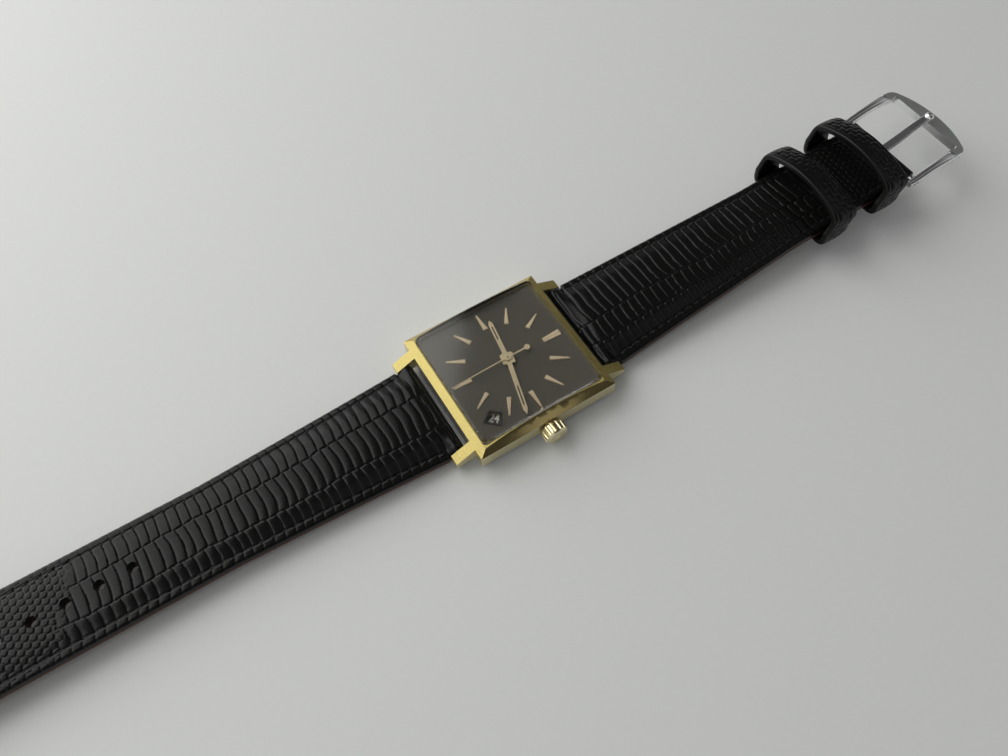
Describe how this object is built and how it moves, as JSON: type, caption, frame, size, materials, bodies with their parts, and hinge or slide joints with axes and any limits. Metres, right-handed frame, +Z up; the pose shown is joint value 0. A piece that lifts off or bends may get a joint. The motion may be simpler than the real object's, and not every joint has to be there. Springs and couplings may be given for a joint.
{
  "type": "square wristwatch",
  "caption": "Square dress watch in yellow gold with an anthracite dial, applied wedge markers, date window, hand-wound movement and a padded black scaled leather strap.",
  "frame": {"origin": "middle of the case back's flat rest face, under the centre of the dial", "axes": "+Z up out of the dial, +X towards 3 o'clock and the crown, +Y towards 12 o'clock and the buckle"},
  "size_m": [0.0308, 0.2309, 0.0146],
  "materials": {
    "gold_case": "brushed and polished yellow gold plating over brass",
    "steel_back": "satin stainless steel",
    "rubber_seal": "matte",
    "acrylic_crystal": "clear polished acrylic, lightly scuffed",
    "dial_lacquer": "anthracite sunburst, soft sheen",
    "gold_markers": "polished gold, faceted",
    "black_enamel": "gloss black",
    "gold_hands": "polished gold",
    "brass_plate": "satin brass",
    "nickel_bridges": "nickel plated, satin",
    "blued_screws": "blued, polished",
    "ruby_jewels": "polished synthetic ruby",
    "brass_wheels": "polished brass",
    "spring_steel": "polished spring steel",
    "steel_arbors": "polished steel",
    "date_ring_paint": "matte black with white numbers",
    "black_leather": "glossy black scaled leather",
    "brown_lining": "dark reddish brown, matte",
    "steel_buckle": "satin top, polished arms"
  },
  "bodies": {
    "case_body": {"case_middle": "gold_case", "case_back": "steel_back", "case_back_gasket": "rubber_seal", "crown_tube": "brass_plate", "crystal": "acrylic_crystal", "dial": "dial_lacquer", "hour_markers": "gold_markers", "date_window_frame": "black_enamel", "main_plate": "brass_plate", "train_bridge": "nickel_bridges", "barrel_bridge": "nickel_bridges", "balance_cock": "nickel_bridges", "pallet_bridge": "nickel_bridges", "date_plate": "brass_plate", "movement_ring": "brass_plate", "movement_screws": "blued_screws", "jewels": "ruby_jewels", "regulator": "steel_arbors", "click_spring": "spring_steel", "setting_lever_spring": "spring_steel", "spring_bar_12": "steel_arbors", "spring_bar_6": "steel_arbors"},
    "winding_pinion_body": {"winding_pinion": "steel_arbors"},
    "crown_body": {"crown": "gold_case", "winding_stem": "steel_arbors"},
    "sliding_pinion_body": {"sliding_pinion": "steel_arbors"},
    "crown_wheel_body": {"crown_wheel": "steel_arbors"},
    "ratchet_body": {"ratchet_wheel": "steel_arbors", "barrel_arbor": "steel_arbors"},
    "click_body": {"click": "steel_arbors"},
    "setting_lever_body": {"setting_lever": "steel_arbors"},
    "yoke_body": {"yoke": "steel_arbors"},
    "fourth_body": {"fourth_wheel": "brass_wheels", "seconds_hand": "gold_hands"},
    "third_body": {"third_wheel": "brass_wheels"},
    "centre_body": {"centre_wheel": "brass_wheels", "cannon_pinion": "steel_arbors", "minute_hand": "gold_hands"},
    "barrel_body": {"mainspring_barrel": "brass_wheels", "mainspring": "spring_steel"},
    "escape_body": {"escape_wheel": "steel_arbors"},
    "minute_wheel_body": {"minute_wheel": "brass_wheels"},
    "hour_body": {"hour_wheel": "brass_wheels", "hour_hand": "gold_hands"},
    "pallet_body": {"pallet_fork": "steel_arbors"},
    "balance_body": {"balance_wheel": "brass_wheels", "hairspring": "spring_steel"},
    "date_ring_body": {"date_ring": "date_ring_paint"},
    "strap_12_body": {"strap_12_cover": "black_leather", "strap_12_lining": "brown_lining", "fixed_keeper": "black_leather", "buckle_bar": "steel_buckle"},
    "strap_6_body": {"strap_6_cover": "black_leather", "strap_6_lining": "brown_lining"},
    "free_keeper_body": {"free_keeper": "black_leather"},
    "buckle_body": {"buckle_frame": "steel_buckle"},
    "tongue_body": {"buckle_tongue": "steel_buckle"}
  },
  "joints": [
    {"name": "crown_turn", "type": "hinge", "parent": "case_body", "child": "winding_pinion_body", "pos_m": [0.00768, 0, 0.0028], "axis": [1, 0, 0], "continuous": true},
    {"name": "crown_pull", "type": "slide", "parent": "winding_pinion_body", "child": "crown_body", "axis": [1, 0, 0], "range_m": [0, 0.0009]},
    {"name": "sliding_pinion_shift", "type": "slide", "parent": "winding_pinion_body", "child": "sliding_pinion_body", "axis": [1, 0, 0], "range_m": [-0.0009, 0]},
    {"name": "setting_lever_swing", "type": "hinge", "parent": "case_body", "child": "setting_lever_body", "pos_m": [0.00968, 0.003, 0.00375], "axis": [0, 0, 1], "range_deg": [0, 17.46]},
    {"name": "yoke_swing", "type": "hinge", "parent": "case_body", "child": "yoke_body", "pos_m": [0.00698, 0.004, 0.00375], "axis": [0, 0, 1], "range_deg": [-14.9, 0]},
    {"name": "crown_wheel_turn", "type": "hinge", "parent": "case_body", "child": "crown_wheel_body", "pos_m": [0.00571, 0, 0.00128], "axis": [0, 0, 1], "continuous": true},
    {"name": "ratchet_turn", "type": "hinge", "parent": "case_body", "child": "ratchet_body", "pos_m": [0.00154, 0.00575, 0.00128], "axis": [0, 0, 1], "continuous": true},
    {"name": "click_lift", "type": "hinge", "parent": "case_body", "child": "click_body", "pos_m": [-0.00447, 0.00794, 0.00128], "axis": [0, 0, 1], "range_deg": [-8, 0], "stiffness_Nm_per_rad": 0.00001},
    {"name": "seconds_run", "type": "hinge", "parent": "case_body", "child": "fourth_body", "pos_m": [0, 0, 0], "axis": [0, 0, 1], "continuous": true},
    {"name": "third_wheel_turn", "type": "hinge", "parent": "case_body", "child": "third_body", "pos_m": [-0.00423, -0.00154, 0], "axis": [0, 0, 1], "continuous": true},
    {"name": "minute_hand_turn", "type": "hinge", "parent": "case_body", "child": "centre_body", "pos_m": [0, 0, 0], "axis": [0, 0, 1], "continuous": true},
    {"name": "barrel_turn", "type": "hinge", "parent": "case_body", "child": "barrel_body", "pos_m": [0.00154, 0.00575, 0], "axis": [0, 0, 1], "continuous": true},
    {"name": "escape_wheel_turn", "type": "hinge", "parent": "case_body", "child": "escape_body", "pos_m": [0.00183, -0.00317, 0], "axis": [0, 0, 1], "continuous": true},
    {"name": "minute_wheel_turn", "type": "hinge", "parent": "case_body", "child": "minute_wheel_body", "pos_m": [0.0023, -0.00193, 0], "axis": [0, 0, 1], "continuous": true},
    {"name": "hour_hand_turn", "type": "hinge", "parent": "case_body", "child": "hour_body", "pos_m": [0, 0, 0], "axis": [0, 0, 1], "continuous": true},
    {"name": "pallet_fork_swing", "type": "hinge", "parent": "case_body", "child": "pallet_body", "pos_m": [0.00134, -0.00592, 0], "axis": [0, 0, 1], "range_deg": [-5, 5]},
    {"name": "balance_swing", "type": "hinge", "parent": "case_body", "child": "balance_body", "pos_m": [0.00134, -0.00862, 0], "axis": [0, 0, 1], "range_deg": [-150, 150], "stiffness_Nm_per_rad": 0.00000025},
    {"name": "date_ring_turn", "type": "hinge", "parent": "case_body", "child": "date_ring_body", "pos_m": [0, 0, 0], "axis": [0, 0, 1], "continuous": true},
    {"name": "strap_12_swing", "type": "hinge", "parent": "case_body", "child": "strap_12_body", "pos_m": [0, 0.0163, 0.0024], "axis": [1, 0, 0], "range_deg": [-85, 20]},
    {"name": "strap_6_swing", "type": "hinge", "parent": "case_body", "child": "strap_6_body", "pos_m": [0, -0.0163, 0.0024], "axis": [-1, 0, 0], "range_deg": [-85, 20]},
    {"name": "free_keeper_slide", "type": "slide", "parent": "strap_12_body", "child": "free_keeper_body", "axis": [0, 0.9974, 0.0715], "range_m": [-0.008, 0.006]},
    {"name": "buckle_swing", "type": "hinge", "parent": "strap_12_body", "child": "buckle_body", "pos_m": [0, 0.08983, 0.00747], "axis": [1, 0, 0], "range_deg": [-60, 30]},
    {"name": "tongue_swing", "type": "hinge", "parent": "buckle_body", "child": "tongue_body", "pos_m": [0, 0.08983, 0.00747], "axis": [1, 0, 0], "range_deg": [0, 60]}
  ],
  "couplings": [
    {"joint": "sliding_pinion_shift", "follows": "crown_pull", "ratio": -1},
    {"joint": "setting_lever_swing", "follows": "crown_pull", "rad_per_m": 338.55},
    {"joint": "yoke_swing", "follows": "crown_pull", "rad_per_m": -288.96},
    {"joint": "crown_wheel_turn", "follows": "crown_turn", "ratio": 0.625},
    {"joint": "ratchet_turn", "follows": "crown_turn", "ratio": -0.31915},
    {"joint": "third_wheel_turn", "follows": "seconds_run", "ratio": -0.13333},
    {"joint": "minute_hand_turn", "follows": "seconds_run", "ratio": 0.016667},
    {"joint": "barrel_turn", "follows": "seconds_run", "ratio": -0.0027778},
    {"joint": "escape_wheel_turn", "follows": "seconds_run", "ratio": -10},
    {"joint": "minute_wheel_turn", "follows": "seconds_run", "ratio": -0.0055556},
    {"joint": "hour_hand_turn", "follows": "seconds_run", "ratio": 0.0013889}
  ]
}
